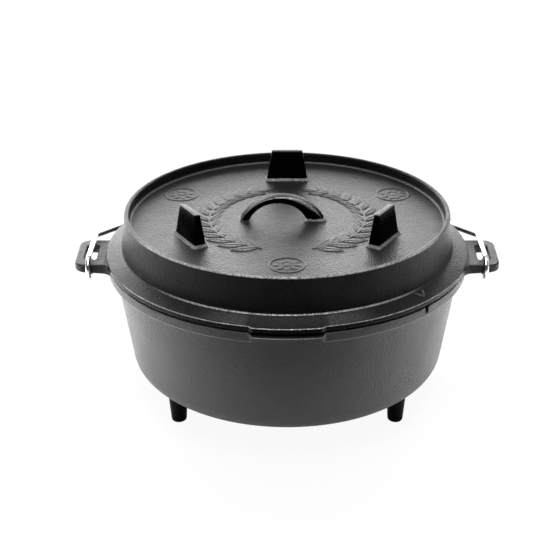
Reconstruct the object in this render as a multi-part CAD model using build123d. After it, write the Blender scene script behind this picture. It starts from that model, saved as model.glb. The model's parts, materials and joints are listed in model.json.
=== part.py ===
# Cast iron dutch oven: a round pot on three legs, a flanged lid with a rim that holds coals and three
# feet on top, and a wire bail hooked through two ears.
#
# Millimetres, +Z up. The origin is on the ground, midway between the legs. The ears point along X and
# the tab that lifts the lid points along -Y. The pot and the lid are two castings: each is divided
# here into plainly named solids that meet face to face.
from build123d import *
import os
from math import asin, atan2, cos, degrees, hypot, radians, sin, sqrt

# ---- Bowl of the pot -------------------------------------------------------------------------------
leg_height = 33.5  # ground to the underside of the bowl
bowl_height = 98.5  # underside of the bowl to the underside of the rim
bowl_top_radius = 155.5  # outside of the wall, right under the rim
bowl_draft = 15.9  # the wall comes in this much from there down to the underside
bowl_corner = 22.0  # outside radius between the wall and the underside
wall_thickness = 5.0
floor_thickness = 5.5

# ---- Rim of the pot --------------------------------------------------------------------------------
rim_overhang = 6.3  # the rim stands out this much from the wall
rim_thickness = 9.5
rim_edge = 1.2  # rounding of the rim's outer edges
rim_tab_reach = 8.2  # how far the tab under the lid's tab stands out from the rim
rim_tab_width = 58.0  # across its front
rim_tab_slope = 40.0  # degrees that its sides lean in towards the wall
notch_angle = -43.0  # where the notch for a thermometer lead crosses the rim, from +X
notch_width = 3.4
notch_depth = 5.5

# ---- Legs ------------------------------------------------------------------------------------------
leg_inset = 26.1  # foot of the wall to the middle of each leg
leg_top_diameter = 17.0
leg_foot_diameter = 13.0
leg_foot_rounding = 3.0
support_angle = 90.0  # where the back leg and the back foot of the lid stand, from +X
support_step_angle = 120.0

# ---- Ears ------------------------------------------------------------------------------------------
ear_root = 10.2  # rim to the slot
slot_depth = 11.2  # slot, measured away from the pot
slot_length = 33.0  # slot, measured along the side of the pot
slot_corner = 4.5
ear_bar = 7.4  # outer bar of the ear
ear_side = 11.5  # front and back bars of the ear
ear_rise = 0.9  # the ear's top stands this much above the rim
ear_tip_thickness = 7.2
ear_corner = 10.0
ear_root_fillet = 8.0
ear_edge = 1.4

# ---- Lid -------------------------------------------------------------------------------------------
flange_overhang = 1.2  # the lid's flange stands out this much from the pot's rim
flange_shelf = 13.9  # width of the flange, outside of the lid's wall
flange_edge_thickness = 7.5
flange_rise = 5.0  # the flange climbs this much from its edge to the foot of the lid's wall
flange_undercut = 2.3  # chamfer under the flange's edge
flange_edge = 1.0
lid_draft = 3.3  # the lid's wall comes in this much from the flange to its top
lid_wall_height = 31.4
lid_lip = 4.0  # width of the rim that holds the coals
lid_lip_edge = 1.2
tray_depth = 9.6  # top of that rim down to the plate
plate_thickness = 5.5
plate_seat = 4.5  # lid wall outside of the plate's edge
spigot_depth = 3.0  # the ring under the lid that drops into the pot's mouth
spigot_clearance = 1.4
spigot_thickness = 5.0
tab_reach = 4.0  # how far the lid's tab stands out from the flange
tab_width = 56.0
tab_splay = 4.0  # extra width at its root, each side

# ---- Lid handle and lid feet -----------------------------------------------------------------------
handle_offset = -4.0  # middle of the loop, along X
handle_span = 77.0  # outside, at the plate
handle_height = 23.5
handle_top_thickness = 6.6
handle_left_leg = 8.4
handle_right_leg = 17.2
handle_width = 13.0
handle_edge = 2.2
foot_inset = 44.3  # edge of the plate to the middle of each foot
foot_height = 29.0
foot_base_length = 39.0
foot_base_width = 11.2
foot_top_length = 29.0
foot_top_width = 5.6
foot_edge = 1.4

# ---- Bail ------------------------------------------------------------------------------------------
bail_wire_diameter = 4.8
eye_clearance = 0.5  # between the eye and the corners of the bar it goes round
eye_turn = 290.0  # degrees of wire in each eye
bail_seat_gap = 0.3  # between the arm at rest and the ear's back bar
shoulder_start = 5.0  # straight wire from the middle of the ear's back bar to the shoulder
shoulder_angle = 40.0
shoulder_inner_bend = 12.0
shoulder_outer_bend = 20.0
bow_start_angle = 17.0
bow_clearance = 1.5  # between the bow and the lid's flange, seen from above
grip_length = 112.0
grip_diameter = 12.6
grip_bore_gap = 0.3

# ---- Levels and radii that follow ------------------------------------------------------------------
bowl_top = leg_height + bowl_height
rim_top = bowl_top + rim_thickness
bowl_foot_radius = bowl_top_radius - bowl_draft  # where the wall's slope would meet the underside
rim_radius = bowl_top_radius + rim_overhang
leg_circle = bowl_foot_radius - leg_inset
taper = bowl_draft / bowl_height
mouth_bottom_radius = bowl_top_radius - wall_thickness
mouth_radius = mouth_bottom_radius + taper * rim_thickness
flange_radius = rim_radius + flange_overhang
lid_foot_radius = flange_radius - flange_shelf
lid_top_radius = lid_foot_radius - lid_draft
flange_top = rim_top + flange_edge_thickness
lid_foot = flange_top + flange_rise
lid_top = lid_foot + lid_wall_height
plate_top = lid_top - tray_depth
plate_bottom = plate_top - plate_thickness
lid_lip_radius = lid_top_radius - lid_lip
plate_radius = lid_top_radius - plate_seat
foot_circle = plate_radius - foot_inset
spigot_radius = mouth_radius - spigot_clearance
spigot_bore = spigot_radius - spigot_thickness

ear_top = rim_top + ear_rise
ear_reach = ear_root + slot_depth + ear_bar
ear_width = slot_length + 2 * ear_side
slot_start = rim_radius + ear_root
ear_end = rim_radius + ear_reach

wire_radius = bail_wire_diameter / 2
arm_x = slot_start + slot_depth / 2

touching = 0.01  # places closer than this are one place
ON_BASE = (Align.CENTER, Align.CENTER, Align.MIN)


def ring(profile):
    """Turn a closed (radius, height) outline about the pot's axis."""
    return revolve(Plane.XZ * make_face(Polyline(*profile, close=True)), Axis.Z)


def rounded_edges(solid, edges, radius):
    """Round the given edges, or leave them sharp where the radius is nothing."""
    return fillet(edges, radius) if radius > 0 else solid


def circles_at(solid, radius, height):
    """Find the round edges about the pot's axis with this radius and height."""
    found = []
    for edge in solid.edges().filter_by(GeomType.CIRCLE):
        middle = edge.arc_center
        if abs(edge.radius - radius) < touching and abs(middle.Z - height) < touching:
            if hypot(middle.X, middle.Y) < touching:
                found.append(edge)
    return ShapeList(found)


# ---- Pot -------------------------------------------------------------------------------------------
def bowl_outline(foot_radius, top_radius, floor, corner):
    """Half section of a round bowl, filled in, with its lower corner rounded."""
    points = [(0, floor), (foot_radius, floor), (top_radius, bowl_top), (0, bowl_top)]
    outline = make_face(Polyline(*points, close=True))
    lower_corner = outline.vertices().sort_by_distance((foot_radius, floor, 0))[0]
    return fillet(lower_corner, corner)


def bowl_outside():
    return bowl_outline(bowl_foot_radius, bowl_top_radius, leg_height, bowl_corner)


def make_bowl():
    floor = leg_height + floor_thickness
    inner_foot = bowl_foot_radius + taper * floor_thickness - wall_thickness
    hollow = bowl_outline(inner_foot, mouth_bottom_radius, floor, bowl_corner - wall_thickness)
    return revolve(Plane.XZ * (bowl_outside() - hollow), Axis.Z)


def tab_outline(base_radius, reach, width, splay):
    """Plan of a tab that stands out towards -Y from a round edge, with a bowed front."""
    half = width / 2
    root = -sqrt(base_radius**2 - (half + splay) ** 2)
    front = -(base_radius + reach)
    corner = front + half**2 / (2 * base_radius)
    left_root = (-half - splay, root)
    right_root = (half + splay, root)
    bow = ThreePointArc((-half, corner), (0, front), (half, corner))
    sides = [Line(left_root, (-half, corner)), Line((half, corner), right_root)]
    inside = root + splay + rim_thickness
    back = Polyline(right_root, (half + splay, inside), (-half - splay, inside), left_root)
    return make_face([*bow.edges(), *sides[0].edges(), *sides[1].edges(), *back.edges()])


def make_pot_rim():
    profile = [
        (mouth_bottom_radius, bowl_top),
        (rim_radius, bowl_top),
        (rim_radius, rim_top),
        (mouth_radius, rim_top),
    ]
    band = ring(profile)
    outer = circles_at(band, rim_radius, bowl_top) + circles_at(band, rim_radius, rim_top)
    band = rounded_edges(band, outer, rim_edge)
    plan = tab_outline(rim_radius, rim_tab_reach, rim_tab_width, tab_splay)
    tab = extrude(Pos(0, 0, rim_top) * plan, -rim_thickness, taper=rim_tab_slope)
    bore = Pos(0, 0, bowl_top) * Cylinder(rim_radius - rim_edge, rim_thickness, align=ON_BASE)
    band += tab - bore
    length = rim_radius - mouth_bottom_radius + 4 * rim_edge
    notch = Box(length, notch_width, notch_depth, align=(Align.CENTER, Align.CENTER, Align.MAX))
    middle = (rim_radius + mouth_bottom_radius) / 2
    return band - Rot(0, 0, notch_angle) * Pos(middle, 0, rim_top) * notch


def make_leg(angle):
    """A round leg, narrower at its foot, that ends against the rounded underside of the bowl."""
    reach_up = bowl_corner / 2
    slope = (leg_top_diameter - leg_foot_diameter) / 2 / leg_height
    head = leg_top_diameter / 2 + slope * reach_up
    top = leg_height + reach_up
    outline = make_face(
        Polyline((0, 0), (leg_foot_diameter / 2, 0), (head, top), (0, top), close=True)
    )
    foot_corner = outline.vertices().sort_by_distance((leg_foot_diameter / 2, 0, 0))[0]
    outline = fillet(foot_corner, leg_foot_rounding)
    leg = revolve(Plane.XZ * outline, Axis.Z)
    place = Rot(0, 0, angle) * Pos(leg_circle, 0, 0)
    return place * leg - revolve(Plane.XZ * bowl_outside(), Axis.Z)


def ear_plan():
    """Plan of the right ear: a rounded ring that flares into the pot's rim."""
    disc = Circle(rim_radius)
    plate = Pos(ear_end / 2, 0) * Rectangle(ear_end, ear_width)
    plan = disc + plate
    tips = plan.vertices().filter_by(lambda v: v.X > ear_end - touching)
    plan = fillet(tips, ear_corner)
    roots = plan.vertices().filter_by(
        lambda v: abs(hypot(v.X, v.Y) - rim_radius) < touching
        and abs(abs(v.Y) - ear_width / 2) < touching
    )
    plan = fillet(roots, ear_root_fillet)
    slot = Pos(arm_x, 0) * RectangleRounded(slot_depth, slot_length, slot_corner)
    return plan - disc - slot


def ear_underside_at(x):
    """Height of the ear's underside, which climbs from the rim's underside to the ear's tip."""
    tip = ear_top - ear_tip_thickness
    return bowl_top + rim_edge + (tip - bowl_top - rim_edge) * (x - rim_radius) / ear_reach


def make_ear():
    height = ear_top - bowl_top
    blank = extrude(Pos(0, 0, bowl_top) * ear_plan(), height)
    near = rim_radius / 2
    far = ear_end + ear_bar
    section = make_face(
        Polyline(
            (near, ear_underside_at(near)),
            (far, ear_underside_at(far)),
            (far, ear_top),
            (near, ear_top),
            close=True,
        )
    )
    slab = extrude(Plane.XZ * section, ear_width, both=True)
    ear = blank & slab
    ear = round_ear(ear)
    under_lid = Pos(0, 0, rim_top) * Cylinder(flange_radius + bow_clearance, height, align=ON_BASE)
    return ear - under_lid


def round_ear(ear):
    """Round the top and bottom edges of the ear, clear of the cusps where it meets the rim."""
    clear = rim_radius + ear_root_fillet
    outer = [
        edge
        for edge in ear.edges()
        if edge.bounding_box().min.X > clear - ear_root_fillet / 2
        and edge.bounding_box().size.Z < 0.6 * ear_tip_thickness
        and edge.length > ear_edge
    ]
    return fillet(outer, ear_edge)


# ---- Lid -------------------------------------------------------------------------------------------
def make_lid_flange():
    foot_bore = lid_foot_radius - wall_thickness
    profile = [
        (foot_bore, lid_foot),
        (spigot_bore, rim_top),
        (spigot_bore, rim_top - spigot_depth),
        (spigot_radius, rim_top - spigot_depth),
        (spigot_radius, rim_top),
        (flange_radius - flange_undercut, rim_top),
        (flange_radius, rim_top + flange_undercut),
        (flange_radius, flange_top),
        (lid_foot_radius, lid_foot),
    ]
    flange = ring(profile)
    flange = rounded_edges(flange, circles_at(flange, flange_radius, flange_top), flange_edge)
    plan = tab_outline(flange_radius, tab_reach, tab_width, tab_splay)
    tab = extrude(Pos(0, 0, rim_top) * plan, flange_edge_thickness)
    front = tab.edges().filter_by(lambda e: e.center().Y < -flange_radius).group_by(Axis.Z)[-1]
    tab = rounded_edges(tab, front, flange_edge)
    inside = flange_radius - flange_undercut
    bore = Pos(0, 0, rim_top) * Cylinder(inside, lid_wall_height, align=ON_BASE)
    return flange + (tab - bore)


def make_lid_wall():
    foot_bore = lid_foot_radius - wall_thickness
    profile = [
        (foot_bore, lid_foot),
        (lid_foot_radius, lid_foot),
        (lid_top_radius, lid_top),
        (lid_lip_radius, lid_top),
        (plate_radius, plate_top),
        (plate_radius, plate_bottom),
    ]
    wall = ring(profile)
    top_edges = circles_at(wall, lid_top_radius, lid_top) + circles_at(wall, lid_lip_radius, lid_top)
    return rounded_edges(wall, top_edges, lid_lip_edge)


def make_lid_plate():
    return Pos(0, 0, plate_bottom) * Cylinder(plate_radius, plate_thickness, align=ON_BASE)


def make_lid_handle():
    """A cast loop, thin at the top and heavier in its right leg, drawn from the side."""
    half = handle_span / 2
    left = handle_offset - half
    right = handle_offset + half
    inner_left = left + handle_left_leg
    inner_right = right - handle_right_leg
    inner_top = handle_height - handle_top_thickness
    inner_middle = (inner_left + inner_right) / 2
    outer = ThreePointArc((left, 0), (handle_offset, handle_height), (right, 0))
    inner = ThreePointArc((inner_left, 0), (inner_middle, inner_top), (inner_right, 0))
    roots = [Line((left, 0), (inner_left, 0)), Line((inner_right, 0), (right, 0))]
    face = make_face([*outer.edges(), *inner.edges(), *roots[0].edges(), *roots[1].edges()])
    loop = extrude(Plane.XZ * face, handle_width / 2, both=True)
    long_edges = loop.edges().filter_by(
        lambda e: abs(abs(e.center().Y) - handle_width / 2) < touching and e.center().Z > touching
    )
    return Pos(0, 0, plate_top) * fillet(long_edges, handle_edge)


def make_lid_foot(angle):
    """A wedge that stands across the radius, so that the lid can be turned over and used as a pan."""
    base = Rectangle(foot_base_width, foot_base_length)
    top = Pos(0, 0, foot_height) * Rectangle(foot_top_width, foot_top_length)
    wedge = loft([base, top])
    above_base = wedge.edges().filter_by(lambda e: e.center().Z > foot_height / 4)
    wedge = fillet(above_base, foot_edge)
    return Rot(0, 0, angle) * Pos(foot_circle, 0, plate_top) * wedge


# ---- Bail ------------------------------------------------------------------------------------------
ear_bar_height = ear_top - ear_underside_at(arm_x)
pivot = Vector(0, -(slot_length + ear_side) / 2, ear_top - ear_bar_height / 2)
bar_reach = hypot(ear_side / 2 - ear_edge, ear_bar_height / 2 - ear_edge) + ear_edge
eye_radius = bar_reach + eye_clearance + wire_radius
# The arms leave the tops of the eyes and lie on the ears' back bars, so they fall a little backwards.
rest_y = (slot_length + 2 * ear_side) / 2 - ear_edge - pivot.Y
rest_z = ear_bar_height / 2
rest_height = eye_radius - wire_radius - bail_seat_gap
droop = degrees(asin(rest_height / hypot(rest_y, rest_z)) - atan2(rest_z, rest_y))


def shoulder_points():
    """Corners of the right shoulder, from above, with the bail level.

    The arm bends in towards the pot, runs straight, and bends back into the bow where the bow comes
    closest to the lid's flange.
    """
    turn = radians(shoulder_angle)
    start_angle = radians(bow_start_angle)
    arm_end = Vector(arm_x, slot_length / 2 + ear_side / 2 + shoulder_start)
    bend_in = Vector(-shoulder_inner_bend * (1 - cos(turn)), shoulder_inner_bend * sin(turn))
    bend_back = Vector(
        -shoulder_outer_bend * (cos(start_angle) - cos(turn)),
        shoulder_outer_bend * (sin(turn) - sin(start_angle)),
    )
    heading = Vector(-sin(turn), cos(turn))
    bow_closest = flange_radius + bow_clearance + wire_radius
    offset = arm_end + bend_in + bend_back
    along = offset.dot(heading)
    run = -along - sqrt(along**2 - offset.dot(offset) + bow_closest**2)
    return arm_end, arm_end + bend_in, arm_end + bend_in + heading * run


def bow_circle():
    """Radius and centre (on the Y axis) of the bow, from above, with the bail level."""
    start_angle = radians(bow_start_angle)
    turn = radians(shoulder_angle)
    start = shoulder_points()[2] + Vector(
        -shoulder_outer_bend * (cos(start_angle) - cos(turn)),
        shoulder_outer_bend * (sin(turn) - sin(start_angle)),
    )
    radius = start.X / cos(start_angle)
    return radius, start.Y - radius * sin(start_angle), start


def half_bail_path():
    """Right half of the bail's centre line, level: eye, arm, shoulder and half of the bow."""
    level = pivot.Z + eye_radius
    arm_end, bend_end, run_end = (Vector(p.X, p.Y, level) for p in shoulder_points())
    radius, centre, start = bow_circle()
    start = Vector(start.X, start.Y, level)
    eye_plane = Plane(origin=(arm_x, pivot.Y, pivot.Z), x_dir=(0, 1, 0), z_dir=(1, 0, 0))
    eye = eye_plane * CenterArc((0, 0), eye_radius, 90, eye_turn)
    arm = Line((arm_x, pivot.Y, level), arm_end)
    turn = radians(shoulder_angle)
    start_angle = radians(bow_start_angle)
    inner_middle = arm_end + Vector(
        -shoulder_inner_bend * (1 - cos(turn / 2)), shoulder_inner_bend * sin(turn / 2)
    )
    half_turn = (turn + start_angle) / 2
    outer_middle = run_end + Vector(
        -shoulder_outer_bend * (cos(half_turn) - cos(turn)),
        shoulder_outer_bend * (sin(turn) - sin(half_turn)),
    )
    bend_in = ThreePointArc(arm_end, inner_middle, bend_end)
    run = Line(bend_end, run_end)
    bend_back = ThreePointArc(run_end, outer_middle, start)
    quarter = radians((90 + bow_start_angle) / 2)
    bow_middle = Vector(radius * cos(quarter), centre + radius * sin(quarter), level)
    bow = ThreePointArc(start, bow_middle, Vector(0, centre + radius, level))
    return [eye, arm, bend_in, run, bend_back, bow]


def swung_to_rest(solid):
    """Let the level bail fall until its arms lie on the ears' back bars."""
    hinge = Axis((0, pivot.Y, pivot.Z), (1, 0, 0))
    return solid.rotate(hinge, -droop)


def make_bail_wire():
    half = Solid()
    for piece in half_bail_path():
        section = Plane(origin=piece @ 0, z_dir=piece % 0) * Circle(wire_radius)
        stretch = sweep(section, path=piece)
        half = stretch if not half.solids() else half + stretch
    whole = half + mirror(half, Plane.YZ)
    return swung_to_rest(whole)


def make_bail_grip():
    """The sleeve of the coiled grip, wound round the middle of the bow."""
    radius, centre, _ = bow_circle()
    level = pivot.Z + eye_radius
    half_angle = degrees(grip_length / 2 / radius)
    bore = wire_radius + grip_bore_gap
    section = Circle(grip_diameter / 2) - Circle(bore)
    placed = Plane(origin=(radius, centre, level), z_dir=(0, 1, 0)) * section
    axis = Axis((0, centre, level), (0, 0, 1))
    sleeve = revolve(placed, axis, 2 * half_angle)
    return swung_to_rest(sleeve.rotate(axis, 90 - half_angle))


def make_nodes():
    right_ear = make_ear()
    nodes = {
        "pot_bowl": make_bowl(),
        "pot_rim": make_pot_rim(),
        "ear_right": right_ear,
        "ear_left": mirror(right_ear, Plane.YZ),
        "lid_flange": make_lid_flange(),
        "lid_wall": make_lid_wall(),
        "lid_plate": make_lid_plate(),
        "lid_handle": make_lid_handle(),
        "bail_wire": make_bail_wire(),
        "bail_grip": make_bail_grip(),
    }
    for step, side in enumerate(("back", "left", "right")):
        angle = support_angle + step * support_step_angle
        nodes[f"leg_{side}"] = make_leg(angle)
        nodes[f"lid_foot_{side}"] = make_lid_foot(angle)
    return nodes


os.makedirs("parts", exist_ok=True)
for name, shape in make_nodes().items():
    export_step(shape, f"parts/{name}.step")
    print(f"{name:16s} {shape.volume / 1000:9.2f} cm3  {len(shape.solids())} solid")
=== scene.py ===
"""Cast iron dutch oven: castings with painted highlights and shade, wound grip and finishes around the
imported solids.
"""

import json
import math

import bpy
import numpy as np
from mathutils import Matrix, Vector


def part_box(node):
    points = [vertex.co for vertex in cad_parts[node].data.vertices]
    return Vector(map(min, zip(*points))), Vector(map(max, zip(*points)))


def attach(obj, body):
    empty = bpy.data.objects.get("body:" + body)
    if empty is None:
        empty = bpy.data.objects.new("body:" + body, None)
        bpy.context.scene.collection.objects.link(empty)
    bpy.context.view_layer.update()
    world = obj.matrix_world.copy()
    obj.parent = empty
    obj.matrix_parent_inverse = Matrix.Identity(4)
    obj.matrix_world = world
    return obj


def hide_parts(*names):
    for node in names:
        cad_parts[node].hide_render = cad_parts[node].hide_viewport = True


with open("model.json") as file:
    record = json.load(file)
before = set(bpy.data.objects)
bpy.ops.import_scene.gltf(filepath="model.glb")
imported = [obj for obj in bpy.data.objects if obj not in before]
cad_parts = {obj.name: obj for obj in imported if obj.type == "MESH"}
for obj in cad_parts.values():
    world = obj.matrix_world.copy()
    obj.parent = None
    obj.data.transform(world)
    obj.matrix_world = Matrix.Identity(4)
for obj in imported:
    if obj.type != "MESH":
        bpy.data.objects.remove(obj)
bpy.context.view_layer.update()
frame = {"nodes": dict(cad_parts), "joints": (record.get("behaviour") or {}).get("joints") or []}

# Metres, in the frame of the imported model: +Z up, ears along X, the lid's tab towards -Y.
MM = 0.001

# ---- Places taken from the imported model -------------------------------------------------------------
pot_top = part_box("pot_rim")[1].z
bowl_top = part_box("pot_rim")[0].z
belly_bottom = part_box("pot_bowl")[0].z
bowl_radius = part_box("pot_bowl")[1].x
rim_radius = -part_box("pot_rim")[0].x
plate_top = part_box("lid_plate")[1].z
plate_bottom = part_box("lid_plate")[0].z
plate_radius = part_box("lid_plate")[1].x
wall_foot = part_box("lid_wall")[0].z - 0.9 * MM  # its fillet dips a little into the flange
wall_foot_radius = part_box("lid_wall")[1].x
wall_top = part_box("lid_wall")[1].z
flange_radius = -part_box("lid_flange")[0].x
flange_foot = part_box("lid_flange")[0].z
foot_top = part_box("lid_foot_back")[1].z
foot_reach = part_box("lid_foot_back")[1].x
foot_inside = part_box("lid_foot_back")[0].y
foot_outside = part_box("lid_foot_back")[1].y
handle_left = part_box("lid_handle")[0].x
handle_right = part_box("lid_handle")[1].x
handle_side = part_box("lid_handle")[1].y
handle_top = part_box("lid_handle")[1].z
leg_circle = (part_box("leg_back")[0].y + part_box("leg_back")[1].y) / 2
hinge = Vector(next(j for j in frame["joints"] if j["name"] == "bail_swing")["pos_m"])

# ---- Pot and lid sections ---------------------------------------------------------------------------
wall = 5.0 * MM
belly_draft = 15.9 * MM  # how much the bowl narrows from its rim to its underside
belly_corner = 22.0 * MM
mouth_radius = 152.0 * MM
tab_middle = math.radians(270)
rim_tab = 8.2 * MM  # reach of the tab on the pot's rim
lid_tab = 3.1 * MM  # reach of the tab on the lid's flange
lid_tab_rise = 0.4 * MM
tab_half_angles = (9.7, 11.4)  # degrees from its middle to its corners, and to its roots
pad_half_angles = (13.0, 11.4)  # of the flat on the lid's tab, at its inner and its outer end
pad_depths = (0.8 * MM, 0.2 * MM)
notch_middle = math.radians(-43)
notch_half = 2.1 * MM
notch_depth = 5.5 * MM
flange_edge_thickness = 6.6 * MM
flange_undercut = 2.8 * MM
spigot_radius = 150.6 * MM
lid_draft = 3.3 * MM
lip_width = 4.0 * MM
plate_fillet = 1.8 * MM
handle_left_leg = 8.4 * MM
handle_right_leg = 17.2 * MM
support_angles = {"back": 90, "left": 210, "right": 330}


# ---- Material kit -----------------------------------------------------------------------------------
class Value:
    """A number that varies over a surface. Python arithmetic on it adds Math nodes."""

    def __init__(self, nodes, socket):
        self.nodes = nodes
        self.socket = socket

    def __add__(self, other):
        return self.nodes.maths("ADD", self, other)

    def __sub__(self, other):
        return self.nodes.maths("SUBTRACT", self, other)

    def __rsub__(self, other):
        return self.nodes.maths("SUBTRACT", other, self)

    def __mul__(self, other):
        return self.nodes.maths("MULTIPLY", self, other)

    def __pow__(self, other):
        return self.nodes.maths("POWER", self, other)

    __radd__ = __add__
    __rmul__ = __mul__


class Nodes:
    """A node tree that is built from Python expressions."""

    def __init__(self, tree):
        self.tree = tree

    def node(self, kind, settings=None, **inputs):
        """Add a node: its settings first, then its sockets, by name or as s0, s1 by place."""
        made = self.tree.nodes.new(kind)
        for key, value in (settings or {}).items():
            setattr(made, key, value)
        for key, value in inputs.items():
            place = int(key[1:]) if key[1:].isdigit() else key.replace("_", " ")
            self.feed(made.inputs[place], value)
        return made

    def feed(self, socket, value):
        """Link or set one socket."""
        if isinstance(value, Value):
            value = value.socket
        if isinstance(value, bpy.types.NodeSocket):
            self.tree.links.new(value, socket)
        else:
            socket.default_value = value

    def maths(self, operation, first, second, clamp=False):
        """The value of one Math node."""
        settings = {"operation": operation, "use_clamp": clamp}
        return Value(self, self.node("ShaderNodeMath", settings, s0=first, s1=second).outputs[0])

    def noise(self, size, detail=2.0, roughness=0.5):
        """Soft noise about 0.5 whose lumps are about this size."""
        made = self.node(
            "ShaderNodeTexNoise",
            Vector=self.place,
            Scale=1 / size,
            Detail=detail,
            Roughness=roughness,
        )
        return Value(self, made.outputs[0])

    def cells(self, size):
        """Pebbles of about this size: 0 in their middles, more between them."""
        made = self.node("ShaderNodeTexVoronoi", Vector=self.place, Scale=1 / size)
        return Value(self, made.outputs["Distance"])

    def attribute(self, name):
        """A number that the mesh itself carries, 0 where it carries none."""
        return Value(self, self.node("ShaderNodeAttribute", {"attribute_name": name}).outputs["Fac"])

    def between(self, value, low, high):
        """The value rescaled so that low gives 0 and high gives 1, and clamped."""
        return self.maths("DIVIDE", value - low, high - low, clamp=True)

    def mix(self, factor, first, second):
        """A colour between two colours."""
        made = self.node("ShaderNodeMix", {"data_type": "RGBA"}, s0=factor, s6=first, s7=second)
        return made.outputs[2]

    def part(self, vector, axis):
        """One coordinate of a vector."""
        return Value(self, self.node("ShaderNodeSeparateXYZ", s0=vector).outputs[axis])

    def bump(self, height, depth, **before):
        """A normal that follows a height, whose full range is this deep, on top of the one before."""
        made = self.node("ShaderNodeBump", Strength=1.0, Distance=depth, Height=height, **before)
        return made.outputs["Normal"]

    def shader_mix(self, factor, first, second):
        """One shader over another."""
        return self.node("ShaderNodeMixShader", s0=factor, s1=first, s2=second).outputs[0]

    def light_path(self, kind):
        """1 for the rays of one kind, 0 for all others."""
        return Value(self, self.node("ShaderNodeLightPath").outputs[kind])


class Finish(Nodes):
    """A node material, built from one Principled shader and whatever drives it."""

    def __init__(self, name, **fixed):
        self.material = bpy.data.materials.new(name)
        self.material.use_nodes = True
        super().__init__(self.material.node_tree)
        self.shader = self.tree.nodes["Principled BSDF"]
        self.output = self.tree.nodes["Material Output"]
        for socket, value in fixed.items():
            self.shader.inputs[socket.replace("_", " ")].default_value = value
        self.place = self.node("ShaderNodeTexCoord").outputs["Object"]

    def drive(self, **sockets):
        """Feed sockets of the shader."""
        for key, value in sockets.items():
            self.feed(self.shader.inputs[key.replace("_", " ")], value)
        return self.material


def grey(level, warmth=0.0):
    """A grey, warm or cool by a small share."""
    return (level * (1 + warmth), level, level * (1 - warmth), 1.0)


# ---- Finishes ---------------------------------------------------------------------------------------
# Painted highlights: where a mesh carries them, the iron turns towards this lighter, partly metallic
# grey.
painted_highlight_tone = 0.42
painted_highlight_metal = 0.7
# Painted reflection of the bright floor: the pot turns towards this lighter grey low down.
painted_reflection_tone = 0.044
painted_reflection_from = 115 * MM  # height on the pot where the painted reflection starts, growing to full strength lower down
painted_reflection_full = 30 * MM
swell_size = 14 * MM
swell_depth = 0.5 * MM
patch_size = 38 * MM
speckle_size = 1.6 * MM


def seasoned_iron(name, tone, gloss, grain, pebble, ior, painted_reflection_share=0.0):
    """Sand-cast iron under baked-on oil: dark, satin, pebbled, with painted highlights where the mesh
    carries them and a painted floor reflection low down.
    """
    iron = Finish(name, IOR=ior)
    pebbles = iron.cells(grain) ** 2 * 0.8 + iron.noise(grain * 0.5) * 0.6
    swell = iron.noise(swell_size)
    patches = iron.noise(patch_size, detail=3.0, roughness=0.6)
    oil = iron.between(patches, 0.35, 0.65)
    speckle = iron.between(iron.noise(speckle_size, detail=1.0), 0.30, 0.62)
    # Painted highlights, broken into specks, where the mesh carries them.
    highlit = iron.attribute("painted_highlight") * (0.25 + speckle * 0.75)
    # Painted reflection of the bright floor: lighter towards the bottom of the pot.
    painted_reflection = iron.between(iron.part(iron.place, "Z"), painted_reflection_from, painted_reflection_full) * painted_reflection_share
    oiled = iron.mix(oil, grey(tone * 0.8, 0.01), grey(tone * 1.2, -0.01))
    colour = iron.mix(highlit, iron.mix(painted_reflection, oiled, grey(painted_reflection_tone)), grey(painted_highlight_tone))
    pits = iron.between(pebbles, 0.2, 0.8)
    rough = (1 - gloss) + (pits - 0.5) * 0.14 + (oil - 0.5) * 0.06
    coarse = iron.bump(swell, swell_depth)
    fine = iron.bump(1 - pebbles, pebble, Normal=coarse)
    return iron.drive(Base_Color=colour, Metallic=highlit * painted_highlight_metal, Roughness=rough, Normal=fine)


def bright_wire_finish():
    """Plated steel wire: a mirror with faint drawing marks and a few dull spots."""
    steel = Finish("plated_wire", Metallic=1.0)
    marks = steel.noise(6 * MM, detail=4.0, roughness=0.7)
    dull = steel.between(marks, 0.45, 0.7)
    colour = steel.mix(dull, grey(0.78, 0.01), grey(0.62, 0.015))
    scratches = steel.bump(marks, 0.02 * MM)
    return steel.drive(Base_Color=colour, Roughness=0.16 + dull * 0.14, Normal=scratches)


def dress(obj, material):
    """Give a whole piece one material."""
    obj.data.materials.clear()
    obj.data.materials.append(material)


# Each iron's tone, gloss, size of grain, depth of pebbles, and index of refraction.
# The irons are lit and shaded copies of one cast iron: their tones and indices of refraction were set
# part by part for how light falls on each, which paints light and shade into them.
iron_pot = seasoned_iron("iron_pot_wall", 0.003, 0.62, 1.3 * MM, 0.55 * MM, 1.49, painted_reflection_share=1.0)
iron_wall = seasoned_iron("iron_lid_wall", 0.003, 0.66, 1.5 * MM, 0.60 * MM, 1.22)
iron_flange = seasoned_iron("iron_lid_flange", 0.004, 0.66, 1.5 * MM, 0.50 * MM, 1.27)
# Painted shade: a near-black, weakly reflecting copy for the flange's sides and the legs.
iron_painted_shade = seasoned_iron("iron_painted_shade", 0.001, 0.72, 1.5 * MM, 0.20 * MM, 1.16)
iron_plate = seasoned_iron("iron_lid_plate", 0.008, 0.67, 1.5 * MM, 0.52 * MM, 1.38)
# Painted shade: a near-black, weakly reflecting copy for the feet and the handle.
iron_small = seasoned_iron("iron_feet", 0.0008, 0.74, 1.5 * MM, 0.20 * MM, 1.10)
iron_ears = seasoned_iron("iron_ears", 0.006, 0.60, 1.5 * MM, 0.40 * MM, 1.32)
bright_wire = bright_wire_finish()


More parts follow.
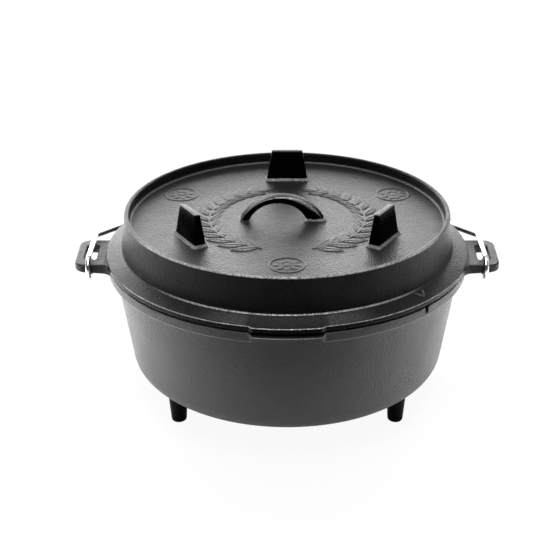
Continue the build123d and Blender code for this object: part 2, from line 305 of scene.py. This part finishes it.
# ---- Mesh kit ---------------------------------------------------------------------------------------
def new_piece(name, points, faces, material, body, replaces, smooth_angle=35, painted_highlight=None):
    """A mesh piece that rides on a body, stands for a node, and may carry painted highlights at some of
    its points.
    """
    mesh = bpy.data.meshes.new(name)
    mesh.from_pydata([tuple(p) for p in points], [], faces)
    if painted_highlight is not None:
        highlit = mesh.attributes.new("painted_highlight", "FLOAT", "POINT")
        highlit.data.foreach_set("value", [float(w) for w in painted_highlight])
    mesh.shade_smooth()
    mesh.set_sharp_from_angle(angle=math.radians(smooth_angle))
    mesh.materials.append(material)
    piece = bpy.data.objects.new(name, mesh)
    bpy.context.collection.objects.link(piece)
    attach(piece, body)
    if replaces:
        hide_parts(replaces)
    return piece


def smooth(x):
    """Ease from 0 to 1 as x goes from 0 to 1, for a number or an array."""
    x = np.clip(x, 0, 1)
    return x * x * (3 - 2 * x)


def ring_faces(rings, across, around_closed=True, across_closed=True):
    """Quads between neighbouring rings, each a row of this many points."""
    faces = []
    for i in range(rings if around_closed else rings - 1):
        j = (i + 1) % rings
        for k in range(across if across_closed else across - 1):
            m = (k + 1) % across
            faces.append((i * across + k, j * across + k, j * across + m, i * across + m))
    return faces


def capped_rings(rings, across):
    """Faces of a row of rings with a flat cap at either end."""
    last = (rings - 1) * across
    caps = [tuple(range(across)), tuple(range(last, last + across))[::-1]]
    return ring_faces(rings, across, around_closed=False) + caps


def rounded(corners, steps=5):
    """Outline of (x, y, highlight) through (x, y, rounding, highlight) corners, with arcs where rounded;
    highlight is the strength of a painted highlight.
    """
    outline = []
    for i, (x, y, rounding, *highlit) in enumerate(corners):
        here = Vector((x, y))
        if rounding <= 0:
            outline.append((x, y, highlit[0] if highlit else 0.0))
            continue
        before = (Vector(corners[i - 1][:2]) - here).normalized()
        after = (Vector(corners[(i + 1) % len(corners)][:2]) - here).normalized()
        half = before.angle(after) / 2
        centre = here + (before + after).normalized() * rounding / math.sin(half)
        start = here + before * rounding / math.tan(half) - centre
        turn = -start.angle_signed(here + after * rounding / math.tan(half) - centre)
        for k in range(steps + 1):
            a = turn * k / steps
            c, s = math.cos(a), math.sin(a)
            out = centre.x + start.x * c - start.y * s
            up = centre.y + start.x * s + start.y * c
            outline.append((out, up, highlit[0] if highlit and 0 < k < steps else 0.0))
    return outline


def turned(name, outline_at, angles, material, body, replaces, centre=(0.0, 0.0), solid=False):
    """A turned piece whose (radius, height, painted highlight) outline may change with the angle.

    A ring has a closed outline. A solid one has an outline that is open at its axis, and flat
    caps there.
    """
    points = []
    painted_highlight = []
    for angle in angles:
        c, s = math.cos(angle), math.sin(angle)
        outline = outline_at(angle)
        points += [(centre[0] + r * c, centre[1] + r * s, z) for r, z, _ in outline]
        painted_highlight += [w for _, _, w in outline]
    across = len(outline)
    faces = ring_faces(len(angles), across, across_closed=not solid)
    if solid:
        faces.append(tuple(i * across for i in range(len(angles)))[::-1])
        faces.append(tuple(i * across + across - 1 for i in range(len(angles))))
    return new_piece(name, points, faces, material, body, replaces, painted_highlight=painted_highlight)


def paint_shade_on_sides(piece, material):
    """Give the upright and the downward faces of a piece a second finish: a darker copy of its iron, as
    painted shade.
    """
    piece.data.materials.append(material)
    for face in piece.data.polygons:
        if face.normal.z < 0.4:
            face.material_index = 1


def tube(path, radius, sides):
    """Points and faces of a round bar with flat ends along a path of points."""
    tangents = []
    for i in range(len(path)):
        tangents.append((path[min(i + 1, len(path) - 1)] - path[max(i - 1, 0)]).normalized())
    side = tangents[0].orthogonal().normalized()
    points = []
    for i, (place, along) in enumerate(zip(path, tangents)):
        if i:
            side = (tangents[i - 1].rotation_difference(along) @ side).normalized()
        side = (side - along * side.dot(along)).normalized()
        up = side.cross(along)
        for k in range(sides):
            a = 2 * math.pi * k / sides
            points.append(place + (side * math.cos(a) + up * math.sin(a)) * radius)
    return points, capped_rings(len(path), sides)


# ---- Plate of the lid, with its relief --------------------------------------------------------------
relief_height = 0.9 * MM
stem_radius = 70 * MM
stem_width = 1.1 * MM
stem_ends = (math.radians(-72), math.radians(66))
leaf_pairs = 13
leaf_length = 25 * MM
leaf_slimness = 0.42
leaf_lean = 0.62  # radians from the stem
tip_leaf_size = (20 * MM, 8 * MM)
midrib_width = 0.55 * MM
vein_count = 7
vein_slant = 2.4
rosette_places = ((30, 114 * MM), (150, 114 * MM), (270, 101 * MM))  # degrees and radius
petal_length = 12 * MM
petal_seam = 0.6 * MM
rosette_eye = 3.4 * MM
rosette_groove = (4.2 * MM, 0.5 * MM)  # radius and width
rosette_ring = (15 * MM, 0.9 * MM)
foot_root = (2.6 * MM, 0.55)  # fillet, and how strong the painted highlight along it is
handle_left_root = (0.8 * MM, 0.15)
handle_right_root = (2.0 * MM, 0.5)
relief_fade = 2 * MM  # round what stands on the plate
plate_edge_highlight = (0.8 * MM, 0.7 * MM)  # distance in from the plate's edge, and width, of a painted highlight there
plate_sway = 0.12 * MM
sway_lengths = (41 * MM, 53 * MM)
plate_grid = 560
plate_faces_kept = 0.30


def box_distance(x, y, centre, angle, half_length, half_width):
    """Distance outside an upright box footprint that stands across its own direction."""
    c, s = math.cos(angle), math.sin(angle)
    u = np.abs((x - centre[0]) * c + (y - centre[1]) * s) - half_length
    v = np.abs(-(x - centre[0]) * s + (y - centre[1]) * c) - half_width
    return np.hypot(np.maximum(u, 0), np.maximum(v, 0)) + np.minimum(np.maximum(u, v), 0)


def fillet_height(distance, radius):
    """Height of the hollow curve between a flat and an upright face this far away."""
    reach = np.clip(distance, 0, radius)
    return radius - np.sqrt(radius**2 - (radius - reach) ** 2)


def leaf(x, y, base, heading, length, width):
    """A pointed leaf, domed, with a groove for its midrib and finer ones for its veins."""
    c, s = math.cos(heading), math.sin(heading)
    u = ((x - base[0]) * c + (y - base[1]) * s) / length
    v = (-(x - base[0]) * s + (y - base[1]) * c) / width
    inside = (u > 0) & (u < 1)
    u = np.clip(u, 0, 1)
    edge = np.sin(math.pi * u**0.85) ** 0.9 * 0.5 + 1e-9
    across = np.abs(v) / edge
    dome = np.clip(1 - across**4, 0, 1) ** 0.5 * (0.75 + 0.25 * (1 - across**2))
    midrib = np.exp(-((v * width / midrib_width) ** 2))
    veins = 0.5 + 0.5 * np.cos(2 * math.pi * (u * vein_count - np.abs(v) * vein_slant))
    cut = 1 - 0.75 * midrib - 0.28 * veins * (1 - midrib) * (across < 0.85)
    return np.where(inside & (across < 1), dome * cut, 0)


def band(distance, width):
    """A rounded bead or groove along a line that is this far away."""
    return np.clip(1 - (distance / width) ** 2, 0, 1) ** 0.5


def leaf_spray(x, y, side):
    """One spray of paired leaves, on the right where side is 1 and on the left where it is -1."""
    start, end = stem_ends
    bearing = np.arctan2(y, x * side)
    along = (bearing > start) & (bearing < end)
    stem = band(np.abs(np.hypot(x, y) - stem_radius), stem_width) * 0.8
    relief = np.where(along, stem, 0)
    for i in range(leaf_pairs):
        a = start + (end - start) * (i + 0.3) / leaf_pairs
        base = (stem_radius * math.cos(a) * side, stem_radius * math.sin(a))
        for lean, share in ((leaf_lean, 1.0), (-leaf_lean, 0.92)):
            grow = a + math.pi / 2 - lean
            heading = grow if side > 0 else math.pi - grow
            size = leaf_length * share * (1 - 0.25 * i / leaf_pairs)
            relief = np.maximum(relief, leaf(x, y, base, heading, size, size * leaf_slimness))
    tip = (stem_radius * math.cos(end) * side, stem_radius * math.sin(end))
    heading = end + math.pi / 2 if side > 0 else math.pi / 2 - end
    return np.maximum(relief, leaf(x, y, tip, heading, *tip_leaf_size))


def leaf_wreath(x, y):
    """Two sprays of leaves that curve round the handle from the front to the back."""
    return np.maximum(leaf_spray(x, y, -1), leaf_spray(x, y, 1))


def rosette(x, y, degrees, circle):
    """An eight-petalled rosette in a ring."""
    a = math.radians(degrees)
    cx, cy = circle * math.cos(a), circle * math.sin(a)
    r = np.hypot(x - cx, y - cy)
    turn = np.arctan2(y - cy, x - cx) - a
    petal = (0.62 + 0.38 * np.abs(np.cos(4 * turn))) * petal_length
    body = np.clip(1 - (r / petal) ** 4, 0, 1) ** 0.5
    seams = 1 - 0.6 * np.exp(-((np.abs(np.cos(4 * turn)) * r / petal_seam) ** 2))
    groove = 1 - 0.8 * np.exp(-(((r - rosette_groove[0]) / rosette_groove[1]) ** 2))
    flower = np.maximum(body * seams * groove * 0.8, band(r, rosette_eye))
    ring = band(np.abs(r - rosette_ring[0]), rosette_ring[1])
    return np.maximum(flower, ring * 0.7)


def rosettes(x, y):
    """Three rosettes between the feet."""
    first, second, third = (rosette(x, y, *place) for place in rosette_places)
    return np.maximum(np.maximum(first, second), third)


def footprints():
    """Where feet and handle stand: centre, angle, half sizes, fillet, and how strong the fillet's
    painted highlight is.
    """
    half_width = (foot_outside - foot_inside) / 2
    middle = (foot_outside + foot_inside) / 2
    for degrees in support_angles.values():
        a = math.radians(degrees)
        centre = (middle * math.cos(a), middle * math.sin(a))
        yield centre, a, half_width, foot_reach, *foot_root
    left = (handle_left + handle_left_leg / 2, 0.0)
    yield left, 0.0, handle_left_leg / 2, handle_side, *handle_left_root
    right = (handle_right - handle_right_leg / 2, 0.0)
    yield right, 0.0, handle_right_leg / 2, handle_side, *handle_right_root


def plate_relief(x, y):
    """Height and painted highlights of the plate: relief, and hollow curves up to what stands on it."""
    relief = np.maximum(leaf_wreath(x, y), rosettes(x, y)) * relief_height
    inwards = plate_radius - np.hypot(x, y)
    grown = fillet_height(inwards, plate_fillet)
    # Painted highlight in a thin band along the plate's edge.
    painted_highlight = band(np.abs(inwards - plate_edge_highlight[0]), plate_edge_highlight[1]) * 0.25
    for centre, angle, half_length, half_width, fillet, highlit in footprints():
        distance = box_distance(x, y, centre, angle, half_length, half_width)
        grown = np.maximum(grown, fillet_height(distance, fillet))
        relief = relief * smooth((distance - fillet) / relief_fade)
        # Painted highlights along the hollow curves at the roots of the feet and the handle.
        painted_highlight = np.maximum(painted_highlight, band(np.abs(distance - fillet * 0.15), fillet * 0.4) * highlit)
    sway = np.sin(x / sway_lengths[0]) * np.sin(y / sway_lengths[1]) * plate_sway
    # Painted highlights on the crests of the relief.
    painted_highlight = np.maximum(painted_highlight, smooth(relief / relief_height - 0.3) * 0.22)
    return np.maximum(relief, 0) + grown + sway, painted_highlight


def round_grid(across, reach):
    """A square grid of points drawn in to a disc, so that its quads stay even up to the edge."""
    line = np.linspace(-1, 1, across)
    u, v = np.meshgrid(line, line, indexing="ij")
    return u * np.sqrt(1 - v**2 / 2) * reach, v * np.sqrt(1 - u**2 / 2) * reach


def grid_faces(across):
    """Quads of a square grid of points."""
    i, j = np.meshgrid(np.arange(across - 1), np.arange(across - 1), indexing="ij")
    corner = (i * across + j).ravel()
    return np.stack([corner, corner + across, corner + across + 1, corner + 1], axis=-1).tolist()


def grid_edge(across):
    """Points along the four sides of a square grid, in order."""
    last = across - 1
    return np.concatenate([
        np.arange(across) * across,
        last * across + np.arange(1, across),
        np.arange(last - 1, -1, -1) * across + last,
        np.arange(last - 1, 0, -1),
    ])


def make_plate():
    """The plate with its relief, closed by a rim and a flat underside."""
    x, y = round_grid(plate_grid, plate_radius + 0.4 * MM)
    height, painted_highlight = plate_relief(x, y)
    points = np.stack([x, y, plate_top + height], axis=-1).reshape(-1, 3)
    edge = grid_edge(plate_grid)
    count = len(edge)
    rim = points[edge].copy()
    rim[:, 2] = plate_bottom
    upper = edge.tolist()
    lower = list(range(len(points), len(points) + count))
    sides = []
    for k in range(count):
        after = (k + 1) % count
        sides.append((upper[k], lower[k], lower[after], upper[after]))
    faces = grid_faces(plate_grid) + sides + [tuple(lower[::-1])]
    points = np.concatenate([points, rim])
    painted_highlight = np.concatenate([painted_highlight.ravel(), np.zeros(count)])
    plate = new_piece("lid_plate_cast", points, faces, iron_plate, "lid", "lid_plate", 60, painted_highlight)
    plate.modifiers.new("thin", "DECIMATE").ratio = plate_faces_kept


# ---- Handle and feet of the lid ---------------------------------------------------------------------
handle_thickness = 6.6 * MM
handle_sink = 0.5 * MM  # how deep its roots stand in the plate
handle_rings = 64
handle_points = 48
foot_top_size = (2.8 * MM, 14.5 * MM)  # half sizes, along the radius and across it
foot_top_corner = 1.2 * MM
foot_side_corner = 1.3 * MM
# Painted highlights on the feet's rounded top corners: strong on the two front feet, faint on the back
# one.
foot_highlight = {"left": 0.45, "right": 0.45, "back": 0.08}


def section(half_width, power, count):
    """A rounded-square section, as pairs of a share outwards and a length across."""
    pairs = []
    for k in range(count):
        a = 2 * math.pi * k / count
        c, s = math.cos(a), math.sin(a)
        out = math.copysign(abs(c) ** (2 / power), c)
        across = math.copysign(abs(s) ** (2 / power), s) * half_width
        pairs.append((out, across))
    return pairs


def arc_through(left, right, height, share):
    """Point at this share of the arc from (left, 0) over the given height to (right, 0)."""
    half = (right - left) / 2
    radius = (half**2 + height**2) / (2 * height)
    centre = (left + half, height - radius)
    lowest = math.asin((height - radius) / -radius)
    angle = math.pi - lowest + (2 * lowest - math.pi) * share
    return Vector((centre[0] + radius * math.cos(angle), centre[1] + radius * math.sin(angle)))


def handle_highlight(share, out, across):
    """How strong the handle's painted highlight is: along its outer edges, widest on the far side of its
    crown.
    """
    if out <= 0:
        return 0.0
    highlight_amount = (0.25 + 0.75 * smooth((share - 0.15) / 0.3)) * (1 - 0.8 * smooth((share - 0.8) / 0.2))
    spread = 0.4 * smooth((share - 0.45) / 0.25) * (1 - smooth((share - 0.8) / 0.15))
    corner = min(out, abs(across) / handle_side)
    low = 0.70 - (spread if across < 0 else 0.0)
    return highlight_amount * smooth((corner - low) / (0.80 - low))


def make_handle():
    """The loop, swept from its left root to its right one between two arcs."""
    height = handle_top - plate_top
    inner_ends = (handle_left + handle_left_leg, handle_right - handle_right_leg)
    points = []
    painted_highlight = []
    for i in range(handle_rings):
        share = i / (handle_rings - 1)
        outer = arc_through(handle_left, handle_right, height, share)
        inner = arc_through(*inner_ends, height - handle_thickness, share)
        middle = (outer + inner) / 2
        half = (outer - inner) / 2
        power = 4.0 - 1.5 * smooth((share - 0.5) / 0.3)
        for out, across in section(handle_side, power, handle_points):
            place = middle + half * out
            points.append((place.x, across, plate_top - handle_sink + place.y))
            painted_highlight.append(handle_highlight(share, out, across))
    faces = capped_rings(handle_rings, handle_points)
    new_piece("lid_handle_loop", points, faces, iron_small, "lid", "lid_handle", 50, painted_highlight)


def rounded_box(half_x, half_y, corner, steps=4):
    """Outline of a box with rounded corners, clockwise seen from above."""
    outline = []
    for sx, sy, start in ((1, 1, 90), (1, -1, 0), (-1, -1, -90), (-1, 1, -180)):
        for k in range(steps + 1):
            a = math.radians(start - 90 * k / steps)
            x = sx * (half_x - corner) + corner * math.cos(a)
            y = sy * (half_y - corner) + corner * math.sin(a)
            outline.append((x, y))
    return outline


def foot_levels(height):
    """Heights up a foot, with how far its top edge has drawn in there."""
    levels = [(share * height, 0.0) for share in (0.0, 0.15, 0.3, 0.5, 0.7, 0.85)]
    steps = 7
    for k in range(1, steps + 1):
        turn = math.pi / 2 * k / steps
        rise = height - foot_top_corner * (1 - math.sin(turn))
        levels.append((rise, foot_top_corner * (1 - math.cos(turn))))
    return levels


def make_lid_foot(side, degrees):
    """A wedge with painted highlights on its rounded top corners, standing across the radius."""
    half_base = ((foot_outside - foot_inside) / 2, foot_reach)
    height = foot_top - plate_top
    middle = (foot_outside + foot_inside) / 2
    a = math.radians(degrees)
    c, s = math.cos(a), math.sin(a)
    levels = foot_levels(height)
    points = []
    painted_highlight = []
    for z, shrink in levels:
        share = z / height
        half_x = half_base[0] + (foot_top_size[0] - half_base[0]) * share - shrink
        half_y = half_base[1] + (foot_top_size[1] - half_base[1]) * share - shrink
        for u, v in rounded_box(half_x, half_y, min(foot_side_corner, half_x * 0.9)):
            r = middle + u
            points.append((r * c - v * s, r * s + v * c, plate_top + z))
            painted_highlight.append(foot_highlight[side] if shrink > 0.1 * foot_top_corner else 0.0)
    faces = capped_rings(len(levels), len(points) // len(levels))
    name = f"lid_foot_{side}"
    new_piece(name + "_cast", points, faces, iron_small, "lid", name, 40, painted_highlight)


# ---- Turned castings --------------------------------------------------------------------------------
belly_hole = 20 * MM  # where the turned outline of the bowl stops and a flat cap begins
under_rim_slope = math.tan(math.radians(40))
rim_corner = 1.2 * MM
rim_tab_corner = 0.4 * MM
lip_corner = 1.8 * MM
flange_sheen_levels = (0.045, 0.13)  # strength of a painted sheen on the flange's top: on the tab, and beside it
flange_sheen_from = 11.9  # degrees from the tab's middle, where its side ends
flange_sheen_reach = 31
flange_sheen_fade = 14
mark_tip = 158.5 * MM
mark_arm = 8.0 * MM
mark_thickness = 1.6 * MM
mark_height = 0.8 * MM
leg_foot = (6.5 * MM, 0.6 * MM)  # radius, and what is added towards the outside
leg_head = (8.3 * MM, 2.2 * MM)
leg_flare = 3.0 * MM
leg_sink = 0.4 * MM  # how deep its head stands in the belly


def around(count):
    """Angles evenly spaced all round."""
    return [2 * math.pi * i / count for i in range(count)]


def off_tab(angle):
    """Degrees from the middle of the tabs at the front."""
    return abs(math.degrees(angle - tab_middle))


def tab_share(angle):
    """1 over the tabs, 0 away from them."""
    corner, root = tab_half_angles
    return smooth((root - off_tab(angle)) / (root - corner))


def pad_share(angle, half_angle):
    """1 over the sunken flat on the lid's tab, 0 beside its sharp ends."""
    return smooth((half_angle - off_tab(angle)) / 0.5)


def flange_painted_sheen(angle):
    """How strong the painted sheen on the flange's top is: most beside the tab, fading towards the
    sides.
    """
    on_tab, beside_tab = flange_sheen_levels
    sheen = on_tab + (beside_tab - on_tab) * smooth(off_tab(angle) - flange_sheen_from)
    return sheen * smooth((flange_sheen_reach - off_tab(angle)) / flange_sheen_fade)


def flange_level(radius):
    """Height of the flange's sloping top at this distance from the axis."""
    slope = (wall_foot - pot_top - flange_edge_thickness) / (flange_radius - wall_foot_radius)
    return wall_foot - slope * (radius - wall_foot_radius)


def front_share(angle, begin=0.35):
    """1 over the front, where the edges carry painted highlights, 0 at the sides and the back."""
    return smooth((-math.sin(angle) - begin) / 0.3)


def fine_angles():
    """Angles all round, closer together at the tab's sides and at the notch."""
    first = tab_half_angles[0] - 0.4
    last = pad_half_angles[0] + 0.4
    sides = []
    for i in range(18):
        away = math.radians(first + (last - first) * i / 17)
        sides += [tab_middle - away, tab_middle + away]
    half = notch_half / rim_radius
    middle = notch_middle % (2 * math.pi)
    notch = [middle + half * k for k in (-1.04, -1.0, 0.0, 1.0, 1.04)]
    return sorted({round(a, 6) for a in around(400) + sides + notch})


def belly_height(radius):
    """Height of the bowl's underside at this distance from its axis."""
    flat = bowl_radius - belly_draft - belly_corner
    if radius <= flat:
        return belly_bottom
    reach = min(radius - flat, belly_corner)
    return belly_bottom + belly_corner - math.sqrt(belly_corner**2 - reach**2)


def make_bowl():
    """The bowl's shell, turned round its axis. It reaches a little way up into the rim."""
    foot = bowl_radius - belly_draft
    shell_top = bowl_top + 1 * MM
    corners = [
        (belly_hole, belly_bottom, 0),
        (foot, belly_bottom, belly_corner),
        (bowl_radius, shell_top, 0),
        (bowl_radius - wall, shell_top, 0),
        (foot - wall, belly_bottom + wall, belly_corner - wall),
        (belly_hole, belly_bottom + wall, 0),
    ]
    outline = rounded(corners, 12)
    turned(
        "pot_bowl_cast",
        lambda angle: outline,
        around(360),
        iron_pot,
        "pot",
        "pot_bowl",
        solid=True,
    )


def rim_outline(angle):
    """Section of the pot's rim: plain, with the tab, or with the notch."""
    share = tab_share(angle)
    top_edge = rim_radius + rim_tab * share
    foot_edge = max(rim_radius, top_edge - under_rim_slope * (pot_top - bowl_top))
    away = (angle - notch_middle + math.pi) % (2 * math.pi) - math.pi
    top = pot_top - (notch_depth if abs(away) * rim_radius < notch_half * 1.02 else 0)
    edge_corner = rim_corner + (rim_tab_corner - rim_corner) * share
    corners = [
        (bowl_radius - wall, bowl_top, 0),
        (bowl_radius + 2 * MM, bowl_top, 1.6 * MM),
        # Painted highlights on the rim's lower edge and, over the tab, on its top edge.
        (foot_edge, bowl_top + 0.9 * MM, 1.3 * MM, 0.3),
        (top_edge, top, edge_corner, 0.2 + 0.5 * share),
        (mouth_radius, top, 0.8 * MM),
    ]
    return rounded(corners)


def flange_outline(angle):
    """Section of the lid's flange, with the spigot under it and the curve up into the lid's wall."""
    share = tab_share(angle)
    edge = flange_radius + lid_tab * share
    edge_top = pot_top + flange_edge_thickness + lid_tab_rise * share
    spigot_bore = spigot_radius - wall
    pad_outside = flange_radius - 2 * MM
    pad_inside = wall_foot_radius + 3 * MM
    outer_pad = flange_level(pad_outside) - pad_depths[1] * pad_share(angle, pad_half_angles[1])
    inner_pad = flange_level(pad_inside) - pad_depths[0] * pad_share(angle, pad_half_angles[0])
    sheen = flange_painted_sheen(angle)
    corners = [
        (wall_foot_radius - wall, wall_foot, 0),
        (spigot_bore, pot_top, 0),
        (spigot_bore, flange_foot, 0),
        (spigot_radius, flange_foot, 0),
        (spigot_radius, pot_top, 0),
        (edge - flange_undercut, pot_top, 0.5 * MM),
        (edge, pot_top + flange_undercut, 0.8 * MM),
        # Painted highlights along the flange's top edge and its curve into the wall, mostly at the
        # front, and a painted sheen on its top beside the tab.
        (edge, edge_top, 0.8 * MM, 0.1 + 0.9 * front_share(angle)),
        (pad_outside, outer_pad, 0, sheen),
        (pad_inside, inner_pad, 0, sheen),
        (wall_foot_radius, wall_foot, 2.0 * MM, front_share(angle, 0.6)),
        (wall_foot_radius - 0.75 * MM, wall_foot + 6 * MM, 0),
    ]
    return rounded(corners)


def wall_outline(angle):
    """Section of the lid's wall, from the flange up to the lip that holds the coals, which carries
    painted highlights.
    """
    lip_outside = wall_foot_radius - lid_draft
    lip_inside = lip_outside - lip_width
    # Painted highlights along the lip, strongest at the front.
    highlight_amount = 0.2 * smooth((0.7 - math.sin(angle)) / 0.7) + 0.8 * front_share(angle)
    corners = [
        (wall_foot_radius - wall, wall_foot, 0),
        (wall_foot_radius, wall_foot, 0),
        (lip_outside, wall_top, lip_corner, highlight_amount),
        (lip_inside, wall_top, lip_corner, highlight_amount),
        (plate_radius, plate_top, 0),
        (plate_radius, plate_bottom, 0),
    ]
    return rounded(corners)


def mark_end(heading, along):
    """Four points across an arm of the mark: two below the flange's top and two above it."""
    middle_x = mark_tip * math.cos(notch_middle) + along * math.cos(heading)
    middle_y = mark_tip * math.sin(notch_middle) + along * math.sin(heading)
    points = []
    for across, rise in ((-1, -1), (-0.6, 1), (0.6, 1), (1, -1)):
        x = middle_x - across * mark_thickness / 2 * math.sin(heading)
        y = middle_y + across * mark_thickness / 2 * math.cos(heading)
        points.append((x, y, flange_level(math.hypot(x, y)) + rise * mark_height))
    return points


def make_flange_mark():
    """A small raised arrow head that points at the notch for a thermometer lead."""
    points = []
    faces = []
    arm_faces = [(0, 1, 2, 3), (7, 6, 5, 4), (0, 4, 5, 1), (1, 5, 6, 2), (2, 6, 7, 3), (3, 7, 4, 0)]
    for lean in (-38, 38):
        heading = notch_middle + math.radians(180 + lean)
        faces += [tuple(len(points) + n for n in face) for face in arm_faces]
        points += mark_end(heading, 0.0) + mark_end(heading, mark_arm)
    # Painted highlights along the tops of the mark's arms.
    painted_highlight = [0.0, 0.4, 0.4, 0.0] * 4
    new_piece("lid_flange_mark", points, faces, iron_flange, "lid", None, 30, painted_highlight)


def make_leg(side, degrees):
    """A tapered round leg, wider towards the outside, flared where it grows out of the belly."""
    a = math.radians(degrees)
    centre = (leg_circle * math.cos(a), leg_circle * math.sin(a))

    def outline_at(angle):
        outwards = max(math.cos(angle - a), 0.0)
        foot = leg_foot[0] + leg_foot[1] * outwards
        head = leg_head[0] + leg_head[1] * outwards
        reach = head + leg_flare
        out = math.hypot(centre[0] + reach * math.cos(angle), centre[1] + reach * math.sin(angle))
        level = belly_height(out) + leg_sink
        corners = [
            (2 * MM, 0.0, 0),
            (foot, 0.0, 3.0 * MM),
            (head, level, leg_flare),
            (reach + 2 * MM, level + 0.3 * MM, 0),
            (2 * MM, belly_bottom + 2 * MM, 0),
        ]
        return rounded(corners, 7)

    name = f"leg_{side}"
    # The legs take the near-black copy of the iron: painted shade under the belly.
    turned(name + "_cast", outline_at, around(40), iron_painted_shade, "pot", name, centre, solid=True)


# ---- Bail -------------------------------------------------------------------------------------------
wire = 3.9 * MM
bow_radius = 162.75 * MM
bow_middle = 12.68 * MM  # along Y, with the bail lying flat
eye_radius = 9.39 * MM
droop = math.radians(-3.108)  # from flat to the folded rest pose
coil_width = 12.6 * MM
coil_length = 112 * MM
coil_end = 0.965  # where the middle of the last turn lies, as a share of the coil's end
turn_steps = 18


def make_coil():
    """The spring-like grip, wound round the middle of the bow."""
    coil_radius = coil_width / 2 - wire / 2
    half_angle = coil_length / 2 / bow_radius
    turns = round(coil_length / wire)
    steps = turns * turn_steps
    path = []
    for i in range(steps + 1):
        bend = math.pi / 2 + half_angle * (1 - 2 * i / steps) * coil_end
        turn = 2 * math.pi * turns * i / steps
        reach = bow_radius + coil_radius * math.cos(turn)
        level = Vector((
            reach * math.cos(bend),
            bow_middle + reach * math.sin(bend) - hinge.y,
            eye_radius + coil_radius * math.sin(turn),
        ))
        path.append(hinge + Matrix.Rotation(droop, 3, "X") @ level)
    points, faces = tube(path, wire / 2, sides=9)
    new_piece("bail_coil", points, faces, bright_wire, "bail", "bail_grip", 50)


angles = fine_angles()
make_bowl()
turned("pot_rim_cast", rim_outline, angles, iron_pot, "pot", "pot_rim")
flange = turned("lid_flange_cast", flange_outline, angles, iron_flange, "lid", "lid_flange")
# Painted shade on the flange's upright and downward faces.
paint_shade_on_sides(flange, iron_painted_shade)
turned("lid_wall_cast", wall_outline, around(360), iron_wall, "lid", "lid_wall")
make_flange_mark()
make_plate()
make_handle()
for side, degrees in support_angles.items():
    make_lid_foot(side, degrees)
    make_leg(side, degrees)
make_coil()
for node in ("ear_left", "ear_right"):
    dress(frame["nodes"][node], iron_ears)
dress(frame["nodes"]["bail_wire"], bright_wire)


# ---- Stage ------------------------------------------------------------------------------------------
oven_middle = (0.0, 0.0, 114.5 * MM)
floor_white_seen = 0.93
floor_white_mirrored = 0.1
floor_dark_ahead = -0.72  # along Y, where the floor in front of the oven has turned grey: painted shade, so the iron reflects a dark front
floor_white_from = -0.28
studio_back = 0.6
studio_back_band = (-0.25, 0.75)  # along Y, where the back starts to glow, and where it is full
studio_side = 0.4
studio_front = 0.02
camera_distance = 1.4
camera_elevation = math.radians(25.25)
camera_lens = 98.1
camera_shift = -0.0127


def make_floor():
    """A white floor that is nearly blown out but keeps a faint shadow."""
    bpy.ops.mesh.primitive_plane_add(size=12.0)
    floor = bpy.context.object
    floor.name = "floor"
    paper = Finish("white_floor", Roughness=0.9)
    # Painted shade: the floor's colour turns from white to dark grey towards the front.
    near = paper.between(paper.part(paper.place, "Y"), floor_dark_ahead, floor_white_from)
    paper.drive(Base_Color=paper.mix(near, grey(0.12), grey(0.86)))
    paper.shader.inputs["Specular IOR Level"].default_value = 0.0
    white = paper.node("ShaderNodeEmission", Color=grey(1.0), Strength=1.0)
    share = paper.light_path("Is Camera Ray") * floor_white_seen
    share = share + paper.light_path("Is Glossy Ray") * near * floor_white_mirrored
    blend = paper.shader_mix(share, paper.shader.outputs[0], white.outputs[0])
    paper.feed(paper.output.inputs["Surface"], blend)
    dress(floor, paper.material)


def make_world():
    """White for the camera; for the rest a studio, bright behind and beside the pot, dark in front."""
    world = bpy.data.worlds.new("studio")
    bpy.context.scene.world = world
    world.use_nodes = True
    studio = Nodes(world.node_tree)
    place = studio.node("ShaderNodeTexCoord").outputs["Generated"]
    sideways = studio.part(place, "X") ** 2
    back = studio.between(studio.part(place, "Y"), *studio_back_band)
    level = back * studio_back + sideways * studio_side + studio_front
    seen = studio.light_path("Is Camera Ray")
    white = studio.tree.nodes["Background"]
    white.inputs["Color"].default_value = grey(1.0)
    studio.feed(white.inputs["Strength"], seen + (1 - seen) * level)


def area_light(name, place, aim, size, watts, spread=180):
    """A rectangular light at a place, aimed at a point."""
    data = bpy.data.lights.new(name, "AREA")
    data.shape = "RECTANGLE"
    data.size, data.size_y = size
    data.energy = watts
    data.spread = math.radians(spread)
    lamp = bpy.data.objects.new(name, data)
    lamp.location = place
    lamp.rotation_euler = (Vector(aim) - Vector(place)).to_track_quat("-Z", "Y").to_euler()
    bpy.context.collection.objects.link(lamp)


def make_lights():
    """A low wall of light behind, soft ones above and in front, and two that wash the floor."""
    area_light("back_softbox", (-0.42, 1.55, 0.52), oven_middle, (2.56, 0.95), 43)
    area_light("top_softbox", (0.0, 0.1, 1.9), oven_middle, (1.8, 1.4), 12)
    area_light("key_light", (-0.1, -0.92, 1.5), oven_middle, (1.0, 0.9), 18)
    for side, watts in ((-1, 8), (1, 6.6)):
        above = (side * 0.62, 0.2, 0.6)
        area_light("floor_wash", above, (side * 0.62, 0.2, 0.0), (0.8, 1.0), watts, spread=40)


def make_camera():
    """The view from the front, a little above."""
    data = bpy.data.cameras.new("camera")
    data.sensor_width = 36
    data.lens = camera_lens
    data.shift_x = camera_shift
    camera = bpy.data.objects.new("camera", data)
    direction = Vector((0, -math.cos(camera_elevation), math.sin(camera_elevation)))
    offset = direction * camera_distance
    camera.location = Vector(oven_middle) + offset
    camera.rotation_euler = (-offset).to_track_quat("-Z", "Y").to_euler()
    bpy.context.collection.objects.link(camera)
    bpy.context.scene.camera = camera


make_world()
make_floor()
make_lights()
make_camera()
bpy.context.scene.view_settings.view_transform = "Standard"
